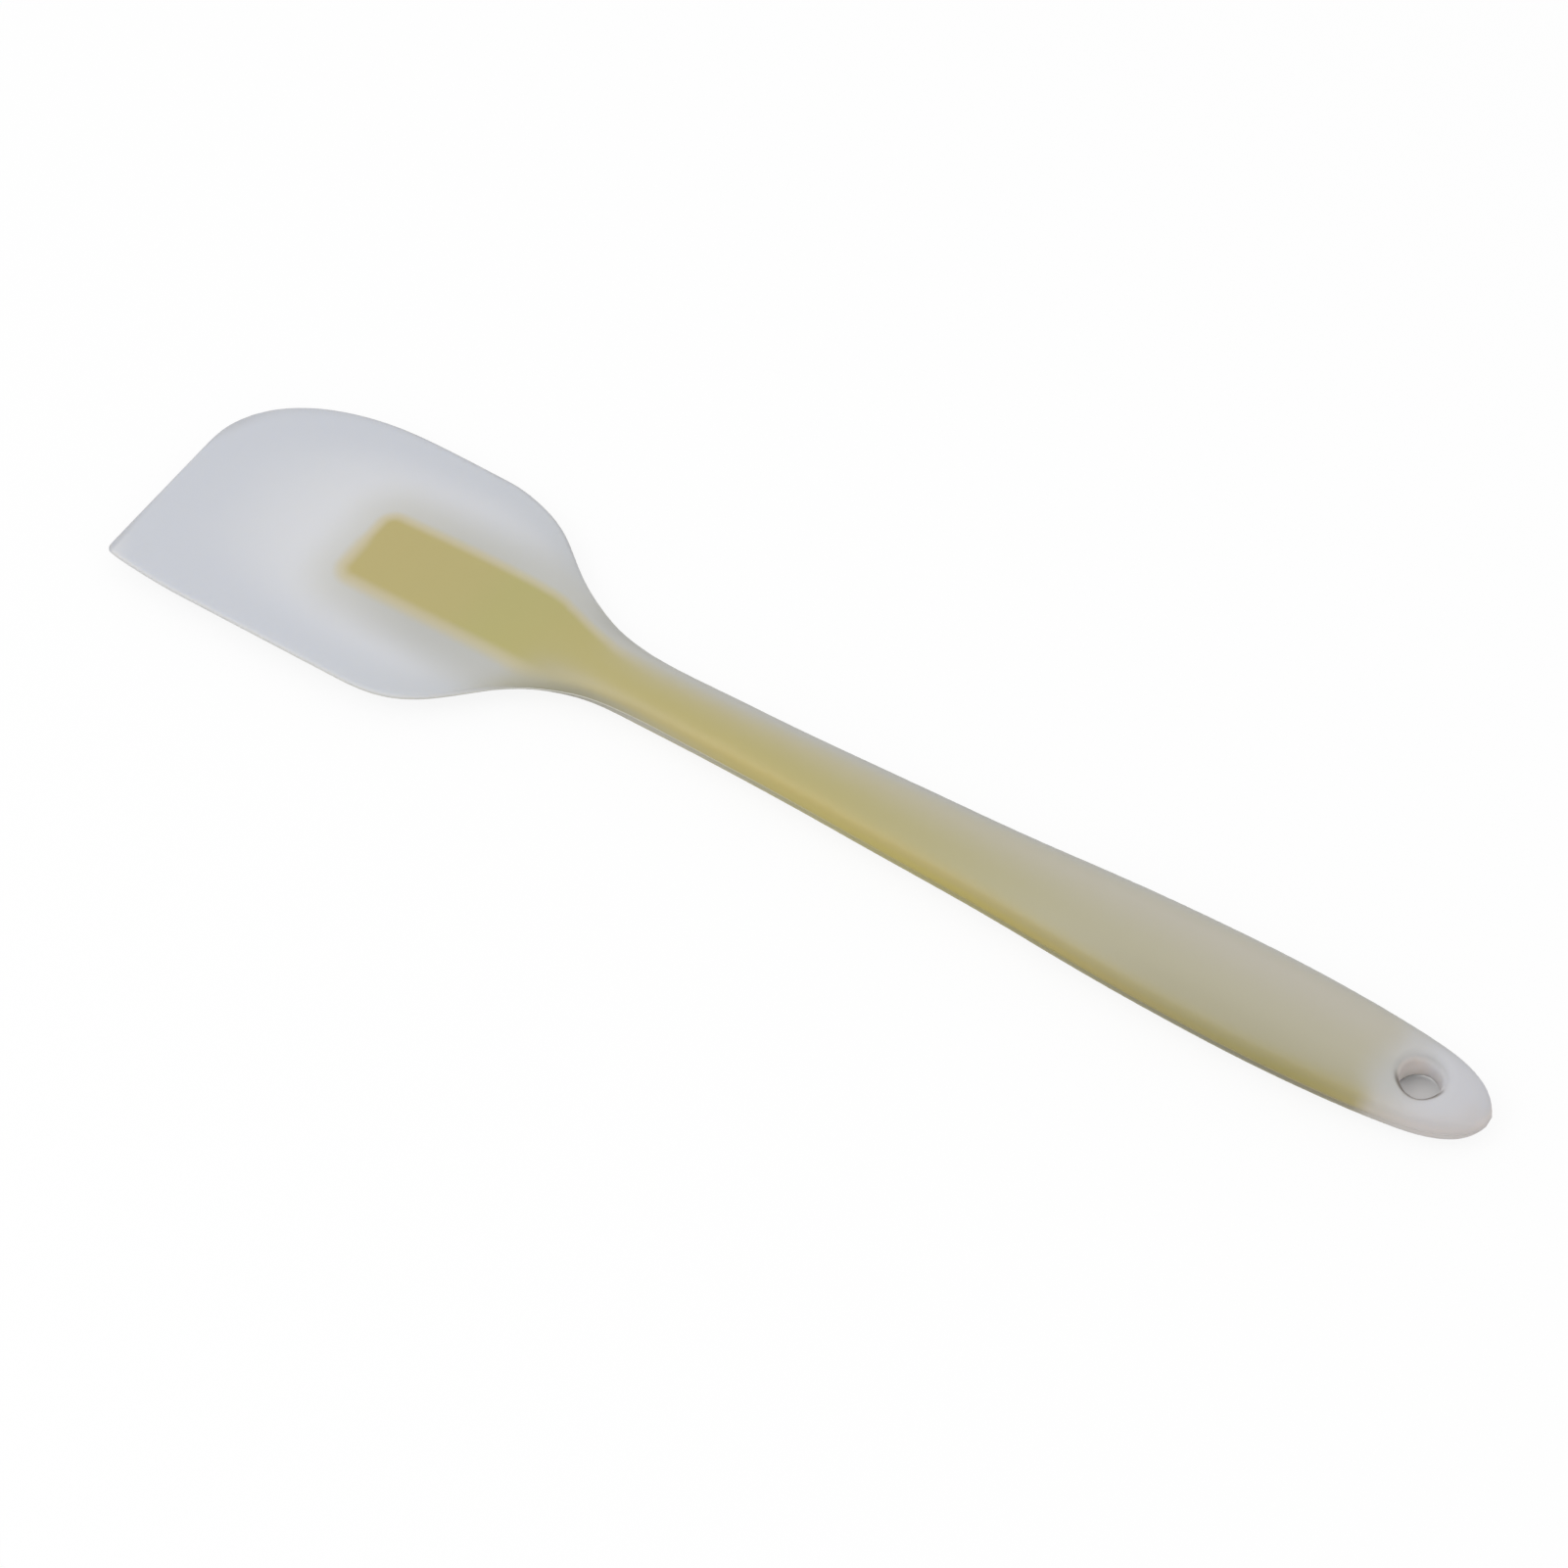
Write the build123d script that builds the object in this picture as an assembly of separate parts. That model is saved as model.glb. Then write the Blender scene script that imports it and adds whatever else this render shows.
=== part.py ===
from build123d import *
import math
import os

# One-piece silicone spatula with a stiff core sealed inside it.
# Millimetres: +X runs from the blade's front edge to the handle's end, +Y from
# the pointed corner to the rounded one, and +Z up through the flat blade.
# The mould parts at mid-height, and the form above that plane mirrors the one below.
# A "place" is a distance from the blade's front edge along the spatula.

# Silicone form
overall_length = 280.0
blade_width = 57.0
neck_width = 12.9
handle_width = 21.6
neck_thickness = 8.0
handle_thickness = 9.6
blade_root_thickness = 7.6
blade_middle_thickness = 5.2
blade_front_thickness = 1.5
lip_thickness = 1.3
lip_depth = 0.9

# Places where the silicone form changes
blade_middle_place = 42.0
blade_root_place = 84.0
near_shoulder_place = 57.0
far_shoulder_place = 42.0
neck_place = 106.0

# Blade corners: a wide, full quarter round on the far side, a sharp point on the near side
corner_length = 38.0
corner_width = 23.5
point_round = 1.5
point_ease_length = 20.0
point_ease = 1.4

# Handle end and the hole that it hangs by
end_round_length = 16.5
end_height_length = 9.0
hole_diameter = 7.6
hole_from_end = 13.3
hole_rim_round = 2.2
hole_side_wall = 2.8
hole_land = 3.4

# Stiff core
tongue_width = 16.4
tongue_thickness = 3.0
tongue_place = 42.3
tongue_corner = 3.0
core_shoulder_place = 83.0
core_shoulder_length = 16.0
core_thickness = 5.2
core_ramp_length = 20.0
core_side_cover = 1.9
core_hole_wall = 2.0
core_edge_chamfer = 0.6

# Form factors without a unit
section_power = 2.6
blade_dome_power = 1.4
corner_power = 2.2
lip_crown_share = 0.6
tip_share = 0.13
section_steps = 28
core_steps = 10

# Share tables: how far along, and how much of the change is made there
width_rise_share = [(0.0, 0.0), (0.08, 0.0), (0.2, 0.1), (0.31, 0.27), (0.43, 0.45),
                    (0.54, 0.73), (0.65, 0.95), (0.74, 1.0), (1.0, 1.0)]
width_fall_share = [(0.0, 0.0), (0.74, 0.0), (0.83, 0.22), (0.885, 0.6), (0.925, 0.93), (0.95, 1.0), (1.0, 1.0)]
height_rise_share = [(0.0, 0.0), (0.2, 0.12), (0.4, 0.45), (0.6, 0.9), (0.72, 1.0), (1.0, 1.0)]
height_fall_share = [(0.0, 0.0), (0.72, 0.0), (0.86, 0.45), (1.0, 1.0)]
near_shoulder_share = [(0.0, 1.0), (0.12, 0.975), (0.24, 0.885), (0.37, 0.675), (0.47, 0.46),
                       (0.59, 0.255), (0.72, 0.115), (0.86, 0.025), (1.0, 0.0)]
far_shoulder_share = [(0.0, 1.0), (0.22, 0.985), (0.34, 0.92), (0.47, 0.745), (0.59, 0.47),
                      (0.66, 0.333), (0.78, 0.158), (0.9, 0.047), (1.0, 0.0)]
dome_share = [(0.0, 0.0), (0.2, 0.3), (0.45, 0.85), (0.7, 1.0), (1.0, 1.0)]


def interpolate(table, place):
    """Smooth curve through the table's few points that never overshoots them."""
    last = len(table) - 1
    slopes = [(table[i + 1][1] - table[i][1]) / (table[i + 1][0] - table[i][0]) for i in range(last)]
    bends = [slopes[0]]
    for before, after in zip(slopes, slopes[1:]):
        bends.append(2 * before * after / (before + after) if before * after > 0 else 0.0)
    bends.append(slopes[-1])
    index = 0
    while index < last - 1 and place > table[index + 1][0]:
        index += 1
    span = table[index + 1][0] - table[index][0]
    t = min(max((place - table[index][0]) / span, 0.0), 1.0)
    held = (1 + 2 * t) * (1 - t) ** 2 * table[index][1] + t * t * (3 - 2 * t) * table[index + 1][1]
    bent = t * (1 - t) ** 2 * bends[index] + t * t * (t - 1) * bends[index + 1]
    return held + bent * span


def quarter_round(distance, length, power=2.0):
    """Height share of a quarter ellipse at a distance in from its tip; a higher power is fuller."""
    into = min(max(1 - distance / length, 0.0), 1.0)
    return (1 - into ** power) ** (1 / power)


def blunt(share):
    """The loft starts and ends on a very small flat instead of a point."""
    return max(share, tip_share)


def handle_place_share(place):
    return (place - neck_place) / (overall_length - neck_place)


def end_width():
    """The silicone round the hole: its bore, its rounded rims and a wall on each side."""
    return hole_diameter + 2 * (hole_rim_round + hole_side_wall)


def end_thickness():
    """Two rounded rims and the straight land of the hole between them."""
    return 2 * hole_rim_round + hole_land


def handle_half_width(place):
    share = handle_place_share(place)
    rise = (handle_width - neck_width) * interpolate(width_rise_share, share)
    fall = (handle_width - end_width()) * interpolate(width_fall_share, share)
    rounding = blunt(quarter_round(overall_length - place, end_round_length))
    return (neck_width + rise - fall) / 2 * rounding


def shoulder(place, start, share_table, full):
    left = interpolate(share_table, (place - start) / (neck_place - start))
    return neck_width / 2 + (full - neck_width / 2) * left


def near_half_width(place):
    if place >= neck_place:
        return handle_half_width(place)
    ease = point_ease * max(1 - place / point_ease_length, 0.0) ** 2
    turn = point_round * (1 - quarter_round(place, point_round))
    return shoulder(place, near_shoulder_place, near_shoulder_share, blade_width / 2 - ease - turn)


def far_half_width(place):
    if place >= neck_place:
        return handle_half_width(place)
    turn = corner_width * (1 - quarter_round(place, corner_length, corner_power))
    return shoulder(place, far_shoulder_place, far_shoulder_share, blade_width / 2 - turn)


def blade_half_thickness(place):
    table = [(0.0, blade_front_thickness),
             (blade_middle_place / 2, (blade_front_thickness + blade_middle_thickness) / 2),
             (blade_middle_place, blade_middle_thickness),
             (blade_root_place, blade_root_thickness),
             (neck_place, neck_thickness)]
    return interpolate(table, place) / 2


def handle_half_thickness(place):
    share = handle_place_share(place)
    rise = (handle_thickness - neck_thickness) * interpolate(height_rise_share, share)
    fall = (handle_thickness - end_thickness()) * interpolate(height_fall_share, share)
    rounding = blunt(quarter_round(overall_length - place, end_height_length))
    return (neck_thickness + rise - fall) / 2 * rounding


def half_thickness(place):
    return handle_half_thickness(place) if place >= neck_place else blade_half_thickness(place)


def dome_power(place):
    """The handle's section is nearly an ellipse, the blade's a low dome with thin lips."""
    share = (neck_place - place) / (neck_place - near_shoulder_place)
    round_power = 1 / section_power
    return round_power + (blade_dome_power - round_power) * interpolate(dome_share, min(max(share, 0.0), 1.0))


def body_section(place):
    near, far, crown = near_half_width(place), far_half_width(place), half_thickness(place)
    lip = min(lip_thickness / 2, crown * lip_crown_share)
    nose = blunt(quarter_round(place, lip_depth))
    x = place - overall_length / 2
    top = []
    for step in range(section_steps + 1):
        across = -math.cos(math.pi * step / section_steps)
        side = far if across > 0 else near
        dome = max(1 - abs(across) ** section_power, 0.0) ** dome_power(place)
        rounded_lip = lip * quarter_round(side * (1 - abs(across)), lip_depth)
        top.append((x, across * side, (rounded_lip + (crown - lip) * dome) * nose))
    bottom = [(x, y, -z) for x, y, z in reversed(top)]
    knots = [step / section_steps for step in range(section_steps + 1)]
    return Wire([Edge.make_spline(top, parameters=knots), Edge.make_spline(bottom, parameters=knots)])


def quarter_places(start, length, count, share=0.0):
    """Places that close up towards the start, as on a quarter circle."""
    first = math.acos(1 - share)
    turns = [first + (math.pi / 2 - first) * step / count for step in range(count + 1)]
    return [start + length * (1 - math.cos(turn)) for turn in turns]


def even_places(start, end, count):
    return [start + (end - start) * step / count for step in range(1, count + 1)]


def make_body_form():
    nose_places = quarter_places(0.0, lip_depth, 4)
    corner_places = quarter_places(0.0, corner_length, 7, lip_depth / corner_length)
    blade_places = even_places(corner_length, neck_place, 14)
    end_start = overall_length - end_round_length
    handle_places = even_places(neck_place, end_start, 12)
    end_places = [overall_length - place for place in quarter_places(0.0, end_round_length, 6)]
    main_places = corner_places + blade_places + handle_places + sorted(end_places)[1:]
    nose = Solid.make_loft([body_section(place) for place in nose_places], False)
    main = Solid.make_loft([body_section(place) for place in main_places], False)
    return main + nose


def hole_x():
    return overall_length / 2 - hole_from_end


def on_hole_wall(edge):
    """True for a whole edge that runs round the hole's wall."""
    points = [edge @ share for share in (0.0, 0.25, 0.5, 0.75)]
    radii = [math.hypot(point.X - hole_x(), point.Y) for point in points]
    return edge.length > hole_diameter and all(abs(radius / hole_diameter * 2 - 1) < 0.01 for radius in radii)


def drill_hole(form):
    drill = Pos(hole_x(), 0, 0) * Cylinder(hole_diameter / 2, handle_thickness * 2)
    drilled = form - drill
    return drilled.fillet(hole_rim_round, drilled.edges().filter_by(on_hole_wall))


def core_end_place():
    return overall_length - hole_from_end - hole_diameter / 2 - hole_rim_round - core_hole_wall


def core_half_width(place):
    """The tongue is straight, and the rest keeps an even side cover of silicone."""
    if place <= core_shoulder_place:
        return tongue_width / 2
    handle_core = near_half_width(max(place, neck_place)) - core_side_cover
    share = min((place - core_shoulder_place) / core_shoulder_length, 1.0)
    eased = share * share * (3 - 2 * share)
    return tongue_width / 2 + (handle_core - tongue_width / 2) * eased


def core_outline():
    """Half of the core's plan, closed along the middle line."""
    shift = overall_length / 2
    shoulder_end = core_shoulder_place + core_shoulder_length
    shoulder_places = [core_shoulder_place] + even_places(core_shoulder_place, shoulder_end, 4)
    handle_places = even_places(shoulder_end, core_end_place(), core_steps)
    side = [(place - shift, core_half_width(place)) for place in shoulder_places + handle_places]
    start = (tongue_place - shift, tongue_width / 2)
    lines = [Line((start[0], 0), start), Line(start, side[0]), Spline(*side),
             Line(side[-1], (side[-1][0], 0)), Line((side[-1][0], 0), (start[0], 0))]
    half = make_face(lines)
    return half + half.mirror(Plane.XZ)


def core_profile():
    """Side view of the core: a thin tongue, a ramp, and the thicker handle part."""
    shift = overall_length / 2
    ramp_start = core_shoulder_place + core_shoulder_length - core_ramp_length
    ramp = [(ramp_start, tongue_thickness), (ramp_start + core_ramp_length, core_thickness)]
    places = [tongue_place, ramp_start, ramp[1][0], core_end_place()]
    heights = [tongue_thickness, tongue_thickness, core_thickness, core_thickness]
    top = [(place - shift, 0, height / 2) for place, height in zip(places, heights)]
    bottom = [(x, y, -z) for x, y, z in reversed(top)]
    return make_face(Polyline(*top, *bottom, close=True))


def make_core():
    outline = Pos(0, 0, -core_thickness) * core_outline()
    plan = extrude(outline, amount=2 * core_thickness)
    profile = extrude(Pos(0, -handle_width, 0) * core_profile(), amount=2 * handle_width, dir=(0, 1, 0))
    core = plan & profile
    front_corners = core.edges().filter_by(Axis.Z).group_by(Axis.X)[0]
    core = fillet(front_corners, tongue_corner)
    return chamfer(core.edges(), core_edge_chamfer)


os.makedirs("parts", exist_ok=True)
core = make_core()
body = drill_hole(make_body_form()) - core
export_step(core, "parts/stiffening_core.step")
export_step(body, "parts/silicone_body.step")
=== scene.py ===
import math
import bmesh
import bpy
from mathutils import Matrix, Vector


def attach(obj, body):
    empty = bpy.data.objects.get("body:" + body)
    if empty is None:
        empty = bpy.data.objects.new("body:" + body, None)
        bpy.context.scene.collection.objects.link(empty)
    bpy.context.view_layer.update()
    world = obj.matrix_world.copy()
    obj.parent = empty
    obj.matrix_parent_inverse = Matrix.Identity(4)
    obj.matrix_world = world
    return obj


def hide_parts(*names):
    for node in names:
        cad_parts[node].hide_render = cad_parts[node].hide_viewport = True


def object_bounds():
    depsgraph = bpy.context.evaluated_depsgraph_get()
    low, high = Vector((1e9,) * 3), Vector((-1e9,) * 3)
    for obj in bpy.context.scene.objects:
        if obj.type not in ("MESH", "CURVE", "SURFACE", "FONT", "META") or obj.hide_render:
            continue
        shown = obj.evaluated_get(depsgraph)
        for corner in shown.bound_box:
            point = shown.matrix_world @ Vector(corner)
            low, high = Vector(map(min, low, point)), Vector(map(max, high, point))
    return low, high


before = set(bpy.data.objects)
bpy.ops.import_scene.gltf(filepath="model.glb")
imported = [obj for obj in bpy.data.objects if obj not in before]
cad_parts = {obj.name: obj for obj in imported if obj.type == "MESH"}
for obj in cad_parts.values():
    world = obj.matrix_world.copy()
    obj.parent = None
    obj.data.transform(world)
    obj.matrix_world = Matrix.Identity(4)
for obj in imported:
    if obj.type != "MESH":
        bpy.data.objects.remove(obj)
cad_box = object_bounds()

# Camera: the spatula is seen from its near side and from above, with the handle's
# end closest. The lens and place are those that give the photograph's outline.
photo_width = 1601
focal_length_in_pixels = 4000
sensor_width_mm = 36.0
camera_azimuth = math.radians(32.583)
camera_elevation = math.radians(53.5)
camera_distance = 0.71542
camera_target = Vector((-0.000785, -0.004343, 0.0))
camera_clip = (0.01, 10.0)

towards_camera = Vector((math.sin(camera_azimuth) * math.cos(camera_elevation),
                         -math.cos(camera_azimuth) * math.cos(camera_elevation),
                         math.sin(camera_elevation)))
lens = bpy.data.cameras.new("camera")
lens.sensor_width = sensor_width_mm
lens.lens = focal_length_in_pixels * sensor_width_mm / photo_width
lens.clip_start, lens.clip_end = camera_clip
camera = bpy.data.objects.new("camera", lens)
camera.location = camera_target + towards_camera * camera_distance
camera.rotation_mode = "QUATERNION"
camera.rotation_quaternion = (-towards_camera).to_track_quat("-Z", "Y")
bpy.context.scene.collection.objects.link(camera)
bpy.context.scene.camera = camera
bpy.context.scene.view_settings.view_transform = "Standard"

# Mould grain: the fine, even texture that a matt mould leaves on silicone and plastic,
# with a faint clouding and a few tiny specks of dust. All the spatula's materials use it.
grain_scale, grain_detail = 2600.0, 2.0
cloud_scale, cloud_detail = 38.0, 3.0
speck_scale = 95.0
speck_reach = 0.026
speck_middle = speck_reach / 3
speck_rarity = (0.62, 0.92)


def srgb(red, green, blue):
    """A colour written as 0 to 255 on screen, as Blender's linear values."""
    shares = [channel / 255 for channel in (red, green, blue)]
    return [s / 12.92 if s <= 0.04045 else ((s + 0.055) / 1.055) ** 2.4 for s in shares] + [1.0]


def join(tree, term, socket):
    """Feeds a socket with another socket's output or with a plain value."""
    if isinstance(term, bpy.types.NodeSocket):
        tree.links.new(term, socket)
    else:
        socket.default_value = term


def calculate(tree, operation, *terms):
    """One step of arithmetic on sockets or plain values."""
    node = tree.nodes.new("ShaderNodeMath")
    node.operation = operation
    for term, socket in zip(terms, node.inputs):
        join(tree, term, socket)
    return node.outputs["Value"]


def fade(tree, value, start, end):
    """Rises smoothly from 0 at the start to 1 at the end."""
    node = tree.nodes.new("ShaderNodeMapRange")
    node.interpolation_type = "SMOOTHSTEP"
    join(tree, value, node.inputs["Value"])
    node.inputs["From Min"].default_value = start
    node.inputs["From Max"].default_value = end
    return node.outputs["Result"]


def object_place(tree):
    """The place on the piece in metres, whole and as its three axes."""
    place = tree.nodes.new("ShaderNodeTexCoord").outputs["Object"]
    axes = tree.nodes.new("ShaderNodeSeparateXYZ")
    tree.links.new(place, axes.inputs["Vector"])
    return place, axes.outputs["X"], axes.outputs["Y"], axes.outputs["Z"]


def noise(tree, place, scale, detail):
    """A soft random pattern."""
    node = tree.nodes.new("ShaderNodeTexNoise")
    tree.links.new(place, node.inputs["Vector"])
    node.inputs["Scale"].default_value = scale
    node.inputs["Detail"].default_value = detail
    return node.outputs["Fac"]


mould_grain = bpy.data.node_groups.new("mould_grain", "ShaderNodeTree")
mould_grain.interface.new_socket("Place", in_out="INPUT", socket_type="NodeSocketVector")
for output in ("Height", "Clouding", "Specks"):
    mould_grain.interface.new_socket(output, in_out="OUTPUT", socket_type="NodeSocketFloat")
grain_in = mould_grain.nodes.new("NodeGroupInput").outputs["Place"]
grain_out = mould_grain.nodes.new("NodeGroupOutput")
cells = mould_grain.nodes.new("ShaderNodeTexVoronoi")
mould_grain.links.new(grain_in, cells.inputs["Vector"])
cells.inputs["Scale"].default_value = speck_scale
cell_colour = mould_grain.nodes.new("ShaderNodeSeparateColor")
mould_grain.links.new(cells.outputs["Color"], cell_colour.inputs["Color"])
rare = fade(mould_grain, cell_colour.outputs["Red"], *speck_rarity)
dot = fade(mould_grain, cells.outputs["Distance"], speck_reach, speck_middle)
join(mould_grain, calculate(mould_grain, "MULTIPLY", rare, dot), grain_out.inputs["Specks"])
join(mould_grain, noise(mould_grain, grain_in, grain_scale, grain_detail), grain_out.inputs["Height"])
join(mould_grain, noise(mould_grain, grain_in, cloud_scale, cloud_detail), grain_out.inputs["Clouding"])


def add_grain(tree, place):
    """Puts the mould grain in a material and gives its outputs by name."""
    node = tree.nodes.new("ShaderNodeGroup")
    node.node_tree = mould_grain
    tree.links.new(place, node.inputs["Place"])
    return node.outputs


def add_bump(tree, height, depth, strength, shader):
    """Lets a pattern's height catch the light, without moving the surface."""
    bump = tree.nodes.new("ShaderNodeBump")
    bump.inputs["Strength"].default_value = strength
    bump.inputs["Distance"].default_value = depth
    tree.links.new(height, bump.inputs["Height"])
    tree.links.new(bump.outputs["Normal"], shader.inputs["Normal"])


def new_material(name, roughness, specular):
    material = bpy.data.materials.new(name)
    material.use_nodes = True
    shader = material.node_tree.nodes["Principled BSDF"]
    shader.inputs["Roughness"].default_value = roughness
    shader.inputs["Specular IOR Level"].default_value = specular
    return material, material.node_tree, shader


# Stiffening core: one flat bar of straw-coloured plastic that the silicone is
# moulded round. It keeps its CAD shape and is sealed inside the skin.
core_roughness, core_specular = 0.55, 0.5
core_grain_depth, core_grain_strength = 0.00003, 0.4
core_colour = srgb(186, 172, 104)
core_streak_colour = srgb(172, 160, 96)
core_streak_spread = (0.35, 0.65)


def blend_colours(tree, share, under, over):
    """Goes from one colour to another. These are the Mix node's colour sockets."""
    node = tree.nodes.new("ShaderNodeMix")
    node.data_type = "RGBA"
    join(tree, share, node.inputs[0])
    join(tree, under, node.inputs[6])
    join(tree, over, node.inputs[7])
    return node.outputs[2]


core_plastic, tree, shader = new_material("core_plastic", core_roughness, core_specular)
place = object_place(tree)[0]
grain = add_grain(tree, place)
streaks = fade(tree, grain["Clouding"], *core_streak_spread)
join(tree, blend_colours(tree, streaks, core_colour, core_streak_colour), shader.inputs["Base Color"])
add_bump(tree, grain["Height"], core_grain_depth, core_grain_strength, shader)
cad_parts["stiffening_core"].data.materials.clear()
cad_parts["stiffening_core"].data.materials.append(core_plastic)

# Silicone skin: the outside of the milky silicone, which is moulded in one piece round
# the core, from the blade to the handle's end. It is the CAD body's surface without the
# sealed cavity. It is pale where it is thin, and the core shows through it softly.
merge_distance = 1e-6


def outer_surface(node):
    """The part of a CAD node's surface that is joined to its foremost point."""
    surface = bmesh.new()
    surface.from_mesh(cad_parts[node].data)
    bmesh.ops.remove_doubles(surface, verts=surface.verts, dist=merge_distance)
    reached = {min(surface.verts, key=lambda vertex: vertex.co.x)}
    fresh = list(reached)
    while fresh:
        vertex = fresh.pop()
        for edge in vertex.link_edges:
            other = edge.other_vert(vertex)
            if other not in reached:
                reached.add(other)
                fresh.append(other)
    inside = [vertex for vertex in surface.verts if vertex not in reached]
    bmesh.ops.delete(surface, geom=inside, context="VERTS")
    bmesh.ops.recalc_face_normals(surface, faces=surface.faces)
    return surface


skin_surface = outer_surface("silicone_body")
skin_mesh = bpy.data.meshes.new("silicone_skin")
skin_surface.to_mesh(skin_mesh)
skin_surface.free()
skin_mesh.shade_smooth()
skin = bpy.data.objects.new("silicone_skin", skin_mesh)
bpy.context.scene.collection.objects.link(skin)
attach(skin, "root")
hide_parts("silicone_body")

# Milky silicone: satin, with a little light spread below its surface
silicone_roughness, silicone_specular = 0.42, 0.35
silicone_grain_depth, silicone_grain_strength = 0.00002, 0.25
spread_light_share = 0.25
spread_light_by_colour = (1.0, 0.9, 0.7)
spread_light_reach = 0.0015
side_blend = 0.002

silicone, tree, shader = new_material("milky_silicone", silicone_roughness, silicone_specular)
shader.inputs["Subsurface Weight"].default_value = spread_light_share
shader.inputs["Subsurface Radius"].default_value = spread_light_by_colour
shader.inputs["Subsurface Scale"].default_value = spread_light_reach
place, x, y, z = object_place(tree)
grain = add_grain(tree, place)
depth = calculate(tree, "ABSOLUTE", z)


def rest_of(tree, share):
    """What a share leaves of the whole."""
    return calculate(tree, "SUBTRACT", 1.0, share)


near_side = fade(tree, y, side_blend, -side_blend)
far_side = rest_of(tree, near_side)

# The core's outline as it shows on the skin: its reach to each side at places along the
# spatula, in metres. Silicone bends the light, so it shows a little to the near side.
core_front = -0.0983
core_tail = 0.1187
core_corner = 0.003
near_reach = [(-0.0978, 0.0096), (-0.057, 0.0095), (-0.050, 0.0086), (-0.044, 0.0077),
              (-0.038, 0.0074), (-0.020, 0.0074), (0.0, 0.0078), (0.020, 0.0084),
              (0.040, 0.0090), (0.060, 0.0100), (0.080, 0.0108), (0.105, 0.0106),
              (0.1187, 0.0098)]
far_reach = [(-0.0978, 0.0081), (-0.061, 0.0081), (-0.055, 0.0068), (-0.050, 0.0051),
             (-0.045, 0.0036), (-0.040, 0.0026), (-0.032, 0.0023), (-0.022, 0.0024),
             (-0.003, 0.0031), (0.014, 0.0038), (0.040, 0.0052), (0.060, 0.0063),
             (0.080, 0.0075), (0.095, 0.0078), (0.1187, 0.0070)]
widest_reach = 0.0110


def spread(tree, x, stops):
    """Rises from 0 at the first stop to 1 at the last, with the shares at all the stops."""
    start, end = stops[0][0], stops[-1][0]
    node = tree.nodes.new("ShaderNodeMapRange")
    join(tree, x, node.inputs["Value"])
    node.inputs["From Min"].default_value = start
    node.inputs["From Max"].default_value = end
    return node.outputs["Result"], [(stop[0] - start) / (end - start) for stop in stops]


def profile(tree, x, stops):
    """A width in metres that follows the stops along the spatula."""
    run, shares = spread(tree, x, stops)
    curve = tree.nodes.new("ShaderNodeFloatCurve")
    line = curve.mapping.curves[0]
    while len(line.points) < len(stops):
        line.points.new(0.5, 0.5)
    for point, share, stop in zip(line.points, shares, stops):
        point.location = (share, stop[1] / widest_reach)
    curve.mapping.update()
    tree.links.new(run, curve.inputs["Value"])
    return calculate(tree, "MULTIPLY", curve.outputs["Value"], widest_reach)


past_far = calculate(tree, "SUBTRACT", y, profile(tree, x, far_reach))
past_near = calculate(tree, "SUBTRACT", calculate(tree, "MULTIPLY", y, -1.0),
                      profile(tree, x, near_reach))
past_side = calculate(tree, "ADD", calculate(tree, "MAXIMUM", past_far, past_near), core_corner)
past_front = calculate(tree, "SUBTRACT", core_front + core_corner, x)
past_tail = calculate(tree, "SUBTRACT", x, core_tail - core_corner)
past_end = calculate(tree, "MAXIMUM", past_front, past_tail)
squares = [calculate(tree, "POWER", calculate(tree, "MAXIMUM", past, 0.0), 2.0)
           for past in (past_side, past_end)]
corner_reach = calculate(tree, "SQRT", calculate(tree, "ADD", *squares))
inner_reach = calculate(tree, "MINIMUM", calculate(tree, "MAXIMUM", past_side, past_end), 0.0)
outside = calculate(tree, "SUBTRACT", calculate(tree, "ADD", corner_reach, inner_reach), core_corner)

# How much of the core shows: sharply at the tongue's far edge, faintly at its tail
near_blur = 0.0023
far_blur = 0.0017
tail_blur = 0.0040
handle_places = (-0.050, -0.030)
tail_places = (0.100, 0.112)


def blend_values(tree, share, under, over):
    """Goes from one value to another. These are the Mix node's value sockets."""
    node = tree.nodes.new("ShaderNodeMix")
    join(tree, share, node.inputs[0])
    join(tree, under, node.inputs[2])
    join(tree, over, node.inputs[3])
    return node.outputs[0]


in_handle = fade(tree, x, *handle_places)
near_edge = fade(tree, outside, near_blur, -near_blur)
far_edge = blend_values(tree, in_handle, fade(tree, outside, far_blur, -far_blur), near_edge)
soft_edge = blend_values(tree, near_side, far_edge, near_edge)
tail_edge = fade(tree, outside, tail_blur, -tail_blur)
core_mask = blend_values(tree, fade(tree, x, *tail_places), soft_edge, tail_edge)

# Clear silicone: bluish where it is thin, greyer where it is thick and beside the core,
# with painted shade on the near side of the blade's root. Each row is a place along the
# spatula in metres, and the colour there.
thin_colours = [(-0.140, srgb(200, 203, 210)), (-0.100, srgb(200, 203, 210)),
                (-0.070, srgb(198, 201, 206)), (-0.050, srgb(189, 189, 187)),
                (0.100, srgb(182, 181, 176)), (0.120, srgb(189, 186, 178)),
                (0.130, srgb(203, 203, 208))]
clear_colours = [(-0.110, srgb(214, 215, 218)), (-0.090, srgb(210, 211, 215)),
                 (-0.070, srgb(205, 207, 211)), (-0.050, srgb(188, 187, 182)),
                 (-0.030, srgb(182, 181, 176)), (0.108, srgb(182, 180, 172)),
                 (0.120, srgb(189, 186, 178)), (0.128, srgb(199, 200, 205)),
                 (0.140, srgb(203, 202, 206))]
halo_colours = [(-0.112, srgb(212, 212, 214)), (-0.104, srgb(205, 205, 202)),
                (-0.090, srgb(192, 191, 185)), (-0.075, srgb(188, 188, 183)),
                (-0.060, srgb(193, 193, 188)), (-0.040, srgb(184, 183, 177)),
                (0.108, srgb(184, 182, 174)), (0.120, srgb(189, 186, 178)),
                (0.128, srgb(199, 200, 205))]
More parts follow.
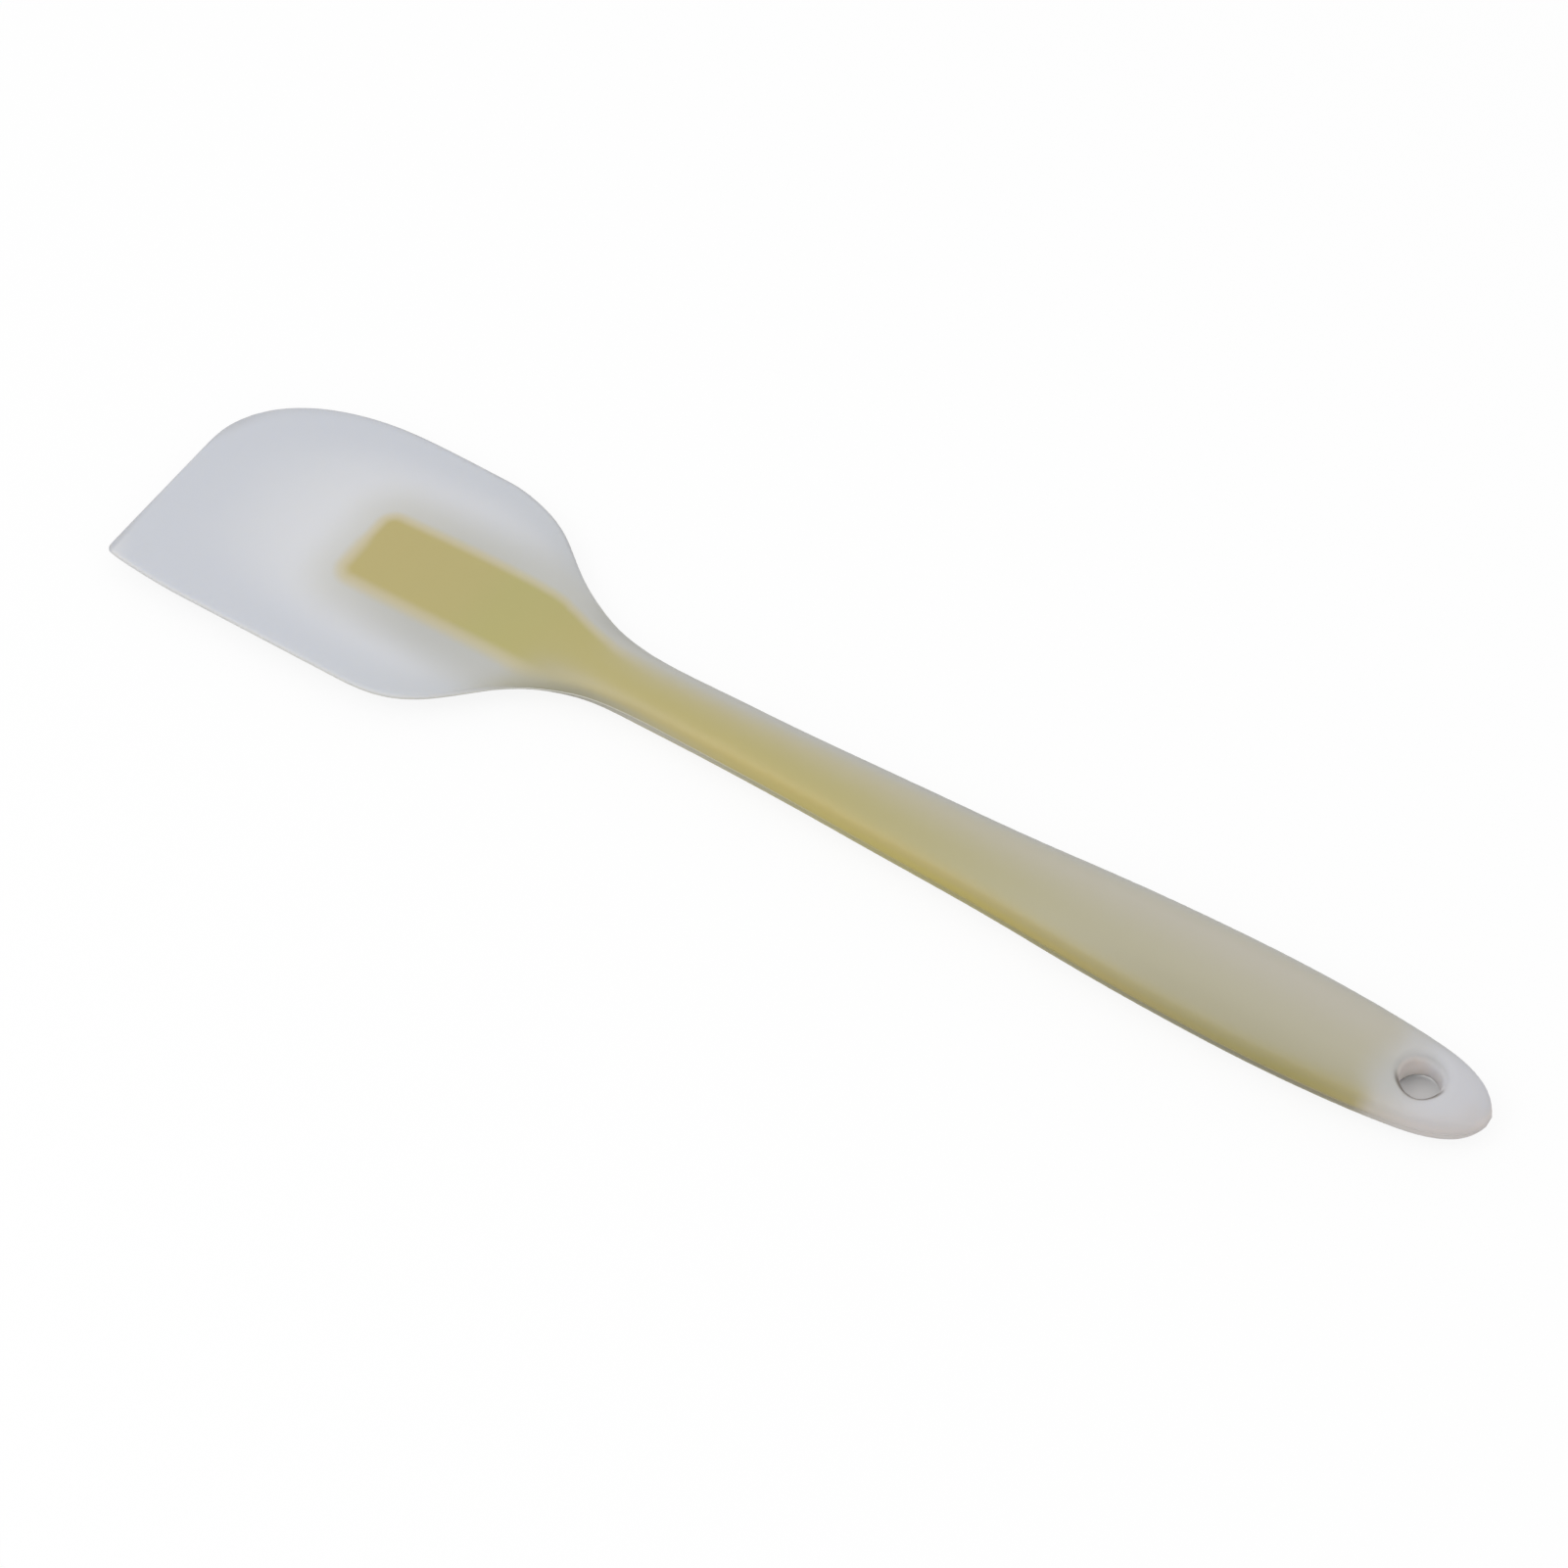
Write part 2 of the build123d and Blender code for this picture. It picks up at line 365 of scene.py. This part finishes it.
thin_to_thick = (0.0009, 0.0023)
halo_width = 0.012
painted_root_shade_colour = srgb(180, 180, 176)
painted_root_shade_strength = 0.5
painted_root_shade_places = (-0.100, -0.070)
painted_root_shade_reach = (0.0110, 0.0030)


def along(tree, x, stops):
    """A colour that changes along the spatula, through the stops."""
    run, shares = spread(tree, x, stops)
    ramp = tree.nodes.new("ShaderNodeValToRGB")
    ramp.color_ramp.interpolation = "B_SPLINE"
    while len(ramp.color_ramp.elements) < len(stops):
        ramp.color_ramp.elements.new(0.5)
    for element, share in zip(ramp.color_ramp.elements, shares):
        element.position = share
    for element, stop in zip(ramp.color_ramp.elements, stops):
        element.color = stop[1]
    tree.links.new(run, ramp.inputs["Fac"])
    return ramp.outputs["Color"]


def times(tree, *shares):
    """All the shares multiplied together."""
    product = shares[0]
    for share in shares[1:]:
        product = calculate(tree, "MULTIPLY", product, share)
    return product


def cover(tree, under, over, *shares):
    """Lays one colour over another where all the shares meet."""
    return blend_colours(tree, times(tree, *shares), under, over)


clear_colour = cover(tree, along(tree, x, thin_colours), along(tree, x, clear_colours),
                     fade(tree, depth, *thin_to_thick))
clear_colour = cover(tree, clear_colour, along(tree, x, halo_colours),
                     fade(tree, outside, halo_width, 0.0))
# Painted shade: the near side of the blade's root is greyed beside the core
clear_colour = cover(tree, clear_colour, painted_root_shade_colour, near_side,
                     fade(tree, x, *painted_root_shade_places), fade(tree, outside, *painted_root_shade_reach),
                     painted_root_shade_strength)

# The core seen through the silicone, with a warm fringe round the tongue, a milky veil
# over the handle's far half, and painted shade that darkens the handle's near side towards
# its end. The fringe comes where half of the core shows, and its gain makes up for that half.
through_colours = [(-0.098, srgb(183, 170, 114)), (-0.074, srgb(181, 170, 115)),
                   (-0.066, srgb(177, 171, 112)), (-0.050, srgb(181, 171, 114)),
                   (-0.020, srgb(181, 170, 114)), (0.012, srgb(180, 171, 119)),
                   (0.040, srgb(179, 173, 138)), (0.065, srgb(181, 176, 152)),
                   (0.120, srgb(180, 175, 155))]
fringe_colour = srgb(206, 193, 157)
fringe_gain = 1.52
veil_colour = srgb(189, 184, 172)
veil_strength = 0.9
veil_sides = (-0.004, 0.008)
painted_near_shade_colour = srgb(169, 163, 136)
painted_near_shade_strength = 0.85
painted_near_shade_sides = (-0.002, -0.0095)
painted_near_shade_places = (0.050, 0.085)

colour = cover(tree, clear_colour, along(tree, x, through_colours), core_mask)
colour = cover(tree, colour, fringe_colour, core_mask, rest_of(tree, core_mask), fringe_gain,
               rest_of(tree, in_handle))
colour = cover(tree, colour, veil_colour, fade(tree, y, *veil_sides), in_handle, core_mask,
               veil_strength)
colour = cover(tree, colour, painted_near_shade_colour, fade(tree, y, *painted_near_shade_sides),
               fade(tree, x, *painted_near_shade_places), core_mask, painted_near_shade_strength)

# The handle's sides: the near shoulder, the flank below it and the underside, where the
# silicone is seen at a slant, and the same at the far side. The shoulder and flank colours
# are partly the core showing through and partly painted shade.
shoulder_core_and_shade_colours = [(-0.052, srgb(176, 169, 136)), (-0.040, srgb(188, 178, 138)),
                    (-0.018, srgb(194, 179, 120)), (0.010, srgb(190, 175, 111)),
                    (0.040, srgb(183, 170, 116)), (0.070, srgb(174, 164, 122)),
                    (0.100, srgb(163, 155, 114)), (0.1185, srgb(166, 154, 100)),
                    (0.1225, srgb(194, 190, 184)), (0.131, srgb(203, 200, 202))]
flank_core_and_shade_colours = [(-0.064, srgb(184, 183, 174)), (-0.050, srgb(163, 159, 136)),
                 (-0.040, srgb(173, 168, 145)), (-0.030, srgb(188, 180, 144)),
                 (-0.012, srgb(197, 183, 122)), (0.035, srgb(191, 177, 92)),
                 (0.068, srgb(182, 166, 112)), (0.100, srgb(162, 154, 99)),
                 (0.1185, srgb(175, 160, 92)), (0.1215, srgb(204, 197, 186)),
                 (0.131, srgb(219, 212, 211))]
painted_underside_shade_colours = [(-0.050, srgb(176, 173, 160)), (-0.042, srgb(180, 176, 162)),
                 (-0.030, srgb(195, 191, 180)), (-0.012, srgb(178, 174, 150)),
                 (0.005, srgb(178, 172, 130)), (0.035, srgb(172, 163, 102)),
                 (0.068, srgb(152, 147, 115)), (0.100, srgb(134, 130, 108)),
                 (0.1185, srgb(146, 138, 112)), (0.1215, srgb(200, 194, 186)),
                 (0.131, srgb(223, 216, 214))]
painted_far_rim_shade_colour = srgb(169, 169, 164)
shoulder_depths, shoulder_places = (0.0041, 0.0026), (-0.060, -0.048)
flank_depths, flank_places = (0.0026, 0.0008), (-0.066, -0.052)
under_heights = (0.0002, -0.0006)
far_rim_depths, far_flank_depths = (0.0036, 0.0016), (0.0018, 0.0008)
far_places = (-0.056, -0.040)
far_rim_end = (0.138, 0.122)

colour = cover(tree, colour, along(tree, x, shoulder_core_and_shade_colours), near_side,
               fade(tree, depth, *shoulder_depths), fade(tree, x, *shoulder_places))
flank = times(tree, near_side, fade(tree, depth, *flank_depths), fade(tree, x, *flank_places))
colour = cover(tree, colour, along(tree, x, flank_core_and_shade_colours), flank)
# Painted shade: the underside below the parting line is darker
colour = cover(tree, colour, along(tree, x, painted_underside_shade_colours), flank, fade(tree, z, *under_heights))
# Painted shade: a grey band down the far side's rim
colour = cover(tree, colour, painted_far_rim_shade_colour, far_side, fade(tree, depth, *far_rim_depths),
               fade(tree, x, *far_places), fade(tree, x, *far_rim_end))
colour = cover(tree, colour, along(tree, x, flank_core_and_shade_colours), far_side,
               fade(tree, depth, *far_flank_depths), fade(tree, x, *far_places))

# The blade's lip: a painted highlight along the near edge, and a thin line of painted
# shade at the far and front ones
painted_near_lip_highlight_colour = srgb(216, 216, 217)
near_lip_depths = (0.00066, 0.0003)
painted_far_lip_shade_colour = srgb(183, 184, 188)
far_lip_strength = 0.7
far_lip_depths = (0.00080, 0.00050)
blade_places = (-0.052, -0.066)
front_edge_places = (-0.1382, -0.1394)

in_blade = fade(tree, x, *blade_places)
front_edge = fade(tree, x, *front_edge_places)
colour = cover(tree, colour, painted_near_lip_highlight_colour, near_side, rest_of(tree, front_edge), in_blade,
               fade(tree, depth, *near_lip_depths))
colour = cover(tree, colour, painted_far_lip_shade_colour, calculate(tree, "MAXIMUM", far_side, front_edge),
               in_blade, fade(tree, depth, *far_lip_depths), far_lip_strength)

# The hanging hole: painted light in its wall, warm, cooler at one side and lighter further
# in, with a dark line of painted shade at its foot and another along its near rim
hole_place = Vector((0.1267, 0.0, 0.0))
hole_reach = (0.0045, 0.0037)
painted_hole_light_colour = srgb(230, 222, 217)
painted_hole_cool_light_colour = srgb(226, 226, 230)
hole_cool_side = Vector((0.84, 0.54, 0.0))
hole_cool_spread = (-0.0005, 0.0030)
painted_hole_deep_light_colour = srgb(255, 247, 242)
hole_deep_heights = (0.0026, -0.0010)
hole_deep_lost_when_cool = 0.75
painted_hole_foot_shade_colour = srgb(104, 98, 92)
hole_foot_strength = 0.8
hole_foot_reach = (0.0058, 0.0050)
hole_foot_height = -0.0025
hole_foot_line_width = 0.00035
painted_rim_shade_line_colour = srgb(112, 104, 96)
rim_line_strength = 0.9
rim_line_reach = (0.0051, 0.0044)
rim_line_side = Vector((0.12, -0.99, 0.0))
rim_line_spread = (0.0003, 0.0028)
rim_line_heights = (0.0018, 0.0028)


def measure(tree, operation, place, other):
    """A distance to a point, or how far an offset reaches towards one side."""
    node = tree.nodes.new("ShaderNodeVectorMath")
    node.operation = operation
    tree.links.new(place, node.inputs[0])
    node.inputs[1].default_value = other
    return node.outputs["Value"]


flat_place = tree.nodes.new("ShaderNodeCombineXYZ")
join(tree, x, flat_place.inputs["X"])
join(tree, y, flat_place.inputs["Y"])
from_hole = measure(tree, "DISTANCE", flat_place.outputs["Vector"], hole_place)
aside = tree.nodes.new("ShaderNodeVectorMath")
aside.operation = "SUBTRACT"
tree.links.new(flat_place.outputs["Vector"], aside.inputs[0])
aside.inputs[1].default_value = hole_place
cool_reach = measure(tree, "DOT_PRODUCT", aside.outputs["Vector"], hole_cool_side)
line_reach = measure(tree, "DOT_PRODUCT", aside.outputs["Vector"], rim_line_side)

# Painted light in the hole's wall: warm, with a cooler side, and lighter further in
cool = fade(tree, cool_reach, *hole_cool_spread)
warm = rest_of(tree, calculate(tree, "MULTIPLY", cool, hole_deep_lost_when_cool))
painted_wall_light = blend_colours(tree, cool, painted_hole_light_colour, painted_hole_cool_light_colour)
painted_wall_light = cover(tree, painted_wall_light, painted_hole_deep_light_colour, fade(tree, z, *hole_deep_heights), warm)
colour = cover(tree, colour, painted_wall_light, fade(tree, from_hole, *hole_reach))
off_foot = calculate(tree, "ABSOLUTE", calculate(tree, "SUBTRACT", z, hole_foot_height))
# Painted shade: a dark line at the hole's foot
colour = cover(tree, colour, painted_hole_foot_shade_colour, fade(tree, from_hole, *hole_foot_reach),
               fade(tree, off_foot, hole_foot_line_width, 0.0), hole_foot_strength)
# Painted shade: a dark line along the hole's near rim
colour = cover(tree, colour, painted_rim_shade_line_colour, fade(tree, from_hole, *rim_line_reach),
               fade(tree, line_reach, *rim_line_spread), fade(tree, z, *rim_line_heights),
               rim_line_strength)

# Dust specks and mould grain finish the silicone
speck_colour = srgb(150, 150, 150)
join(tree, cover(tree, colour, speck_colour, grain["Specks"]), shader.inputs["Base Color"])
add_bump(tree, grain["Height"], silicone_grain_depth, silicone_grain_strength, shader)
skin_mesh.materials.append(silicone)

# Parting flash: the hair-thin raised line of silicone that the two mould halves leave
# all round the outline, at mid-thickness. It shows as a pale thread on the near side.
flash_half_height = 0.00015
flash_rise = 0.00005
flash_root = 0.0001
flash_hole_reach = 0.0045
cut_tolerance = 1e-7
place_digits = 7
flash_roughness = 0.5
flash_colours = [(-0.140, srgb(214, 215, 218)), (-0.050, srgb(216, 215, 206)),
                 (-0.015, srgb(197, 194, 169)), (0.010, srgb(190, 182, 134)),
                 (0.040, srgb(180, 168, 104)), (0.118, srgb(158, 147, 102)),
                 (0.124, srgb(212, 207, 202)), (0.140, srgb(216, 212, 210))]


def flash_surface():
    """A band of the body's surface at mid-thickness, raised and closed back to it."""
    band = outer_surface("silicone_body")
    for side in (1, -1):
        whole = band.verts[:] + band.edges[:] + band.faces[:]
        bmesh.ops.bisect_plane(band, geom=whole, dist=cut_tolerance,
                               plane_co=(0, 0, side * flash_half_height),
                               plane_no=(0, 0, side), clear_outer=True)
    in_hole = [vertex for vertex in band.verts if (vertex.co - hole_place).length < flash_hole_reach]
    bmesh.ops.delete(band, geom=in_hole, context="VERTS")
    band.normal_update()
    outward = {vertex.co.to_tuple(place_digits): vertex.normal.copy() for vertex in band.verts}
    edges = [edge for edge in band.edges if edge.is_boundary]
    root = bmesh.ops.extrude_edge_only(band, edges=edges)["geom"]
    root_vertices = {item for item in root if isinstance(item, bmesh.types.BMVert)}
    for vertex in band.verts:
        rise = -flash_root if vertex in root_vertices else flash_rise
        vertex.co += outward[vertex.co.to_tuple(place_digits)] * rise
    bmesh.ops.recalc_face_normals(band, faces=band.faces)
    return band


flash_mesh = bpy.data.meshes.new("parting_flash")
flash = flash_surface()
flash.to_mesh(flash_mesh)
flash.free()
parting_flash = bpy.data.objects.new("parting_flash", flash_mesh)
bpy.context.scene.collection.objects.link(parting_flash)
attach(parting_flash, "root")
pale_thread, tree, shader = new_material("pale_thread", flash_roughness, silicone_specular)
place, x = object_place(tree)[:2]
grain = add_grain(tree, place)
join(tree, along(tree, x, flash_colours), shader.inputs["Base Color"])
add_bump(tree, grain["Height"], silicone_grain_depth, silicone_grain_strength, shader)
flash_mesh.materials.append(pale_thread)

# Floor: a white table that keeps a faint shadow. What shows of it through the hanging
# hole lies in the handle's own shade, so it is less white there.
floor_half = 2.0
floor_roughness, floor_specular = 0.8, 0.2
floor_colour = srgb(250, 250, 250)
floor_bounce_colour = srgb(200, 200, 198)
floor_white_share = 0.88
shaded_white_share = 0.02
shaded_reach = (0.0064, 0.0050)
plain_white = srgb(255, 255, 255)
full_strength = 1.0


def white_for_camera(tree, plain_shader, white_kind, output, share):
    """Shows the camera, and what reflects or lets light through, plain white instead."""
    path = tree.nodes.new("ShaderNodeLightPath")
    seen = calculate(tree, "MAXIMUM", path.outputs["Is Camera Ray"], path.outputs["Is Transmission Ray"])
    seen = calculate(tree, "MAXIMUM", seen, path.outputs["Is Glossy Ray"])
    white = tree.nodes.new(white_kind)
    white.inputs["Color"].default_value = plain_white
    white.inputs["Strength"].default_value = full_strength
    mix = tree.nodes.new("ShaderNodeMixShader")
    tree.links.new(calculate(tree, "MULTIPLY", seen, share), mix.inputs[0])
    tree.links.new(plain_shader, mix.inputs[1])
    tree.links.new(white.outputs[0], mix.inputs[2])
    tree.links.new(mix.outputs[0], output)


floor_height = cad_box[0].z
floor_mesh = bpy.data.meshes.new("floor")
floor_surface = bmesh.new()
bmesh.ops.create_grid(floor_surface, x_segments=1, y_segments=1, size=floor_half)
bmesh.ops.translate(floor_surface, verts=floor_surface.verts, vec=(0.0, 0.0, floor_height))
floor_surface.to_mesh(floor_mesh)
floor_surface.free()
floor = bpy.data.objects.new("floor", floor_mesh)
bpy.context.scene.collection.objects.link(floor)
table_white, tree, shader = new_material("table_white", floor_roughness, floor_specular)
camera_ray = tree.nodes.new("ShaderNodeLightPath").outputs["Is Camera Ray"]
join(tree, blend_colours(tree, camera_ray, floor_bounce_colour, floor_colour), shader.inputs["Base Color"])
place = object_place(tree)[0]
shaded_place = (hole_place.x, hole_place.y, floor_height)
shaded = fade(tree, measure(tree, "DISTANCE", place, shaded_place), *shaded_reach)
white_for_camera(tree, shader.outputs["BSDF"], "ShaderNodeEmission",
                 tree.nodes["Material Output"].inputs["Surface"],
                 blend_values(tree, shaded, floor_white_share, shaded_white_share))
floor_mesh.materials.append(table_white)

# Light: a white studio tent all round, a wide soft lamp at the near side and a wider one
# above. Each lamp's row is its name, its place and width in metres, and its watts.
tent_strength = 0.80
lamps = [("key_lamp", (-0.30, -0.55, 0.85), 0.7, 2.2), ("top_lamp", (0.1, 0.1, 1.1), 1.0, 0.7)]

world = bpy.data.worlds.new("studio_tent")
bpy.context.scene.world = world
world.use_nodes = True
tent = world.node_tree.nodes["Background"]
tent.inputs["Color"].default_value = plain_white
tent.inputs["Strength"].default_value = tent_strength
white_for_camera(world.node_tree, tent.outputs[0], "ShaderNodeBackground",
                 world.node_tree.nodes["World Output"].inputs["Surface"], full_strength)

for name, spot, width, power in lamps:
    light = bpy.data.lights.new(name, "AREA")
    light.shape, light.size, light.energy = "DISK", width, power
    lamp = bpy.data.objects.new(name, light)
    lamp.location = spot
    lamp.rotation_mode = "QUATERNION"
    lamp.rotation_quaternion = (-Vector(spot)).to_track_quat("-Z", "Y")
    bpy.context.scene.collection.objects.link(lamp)
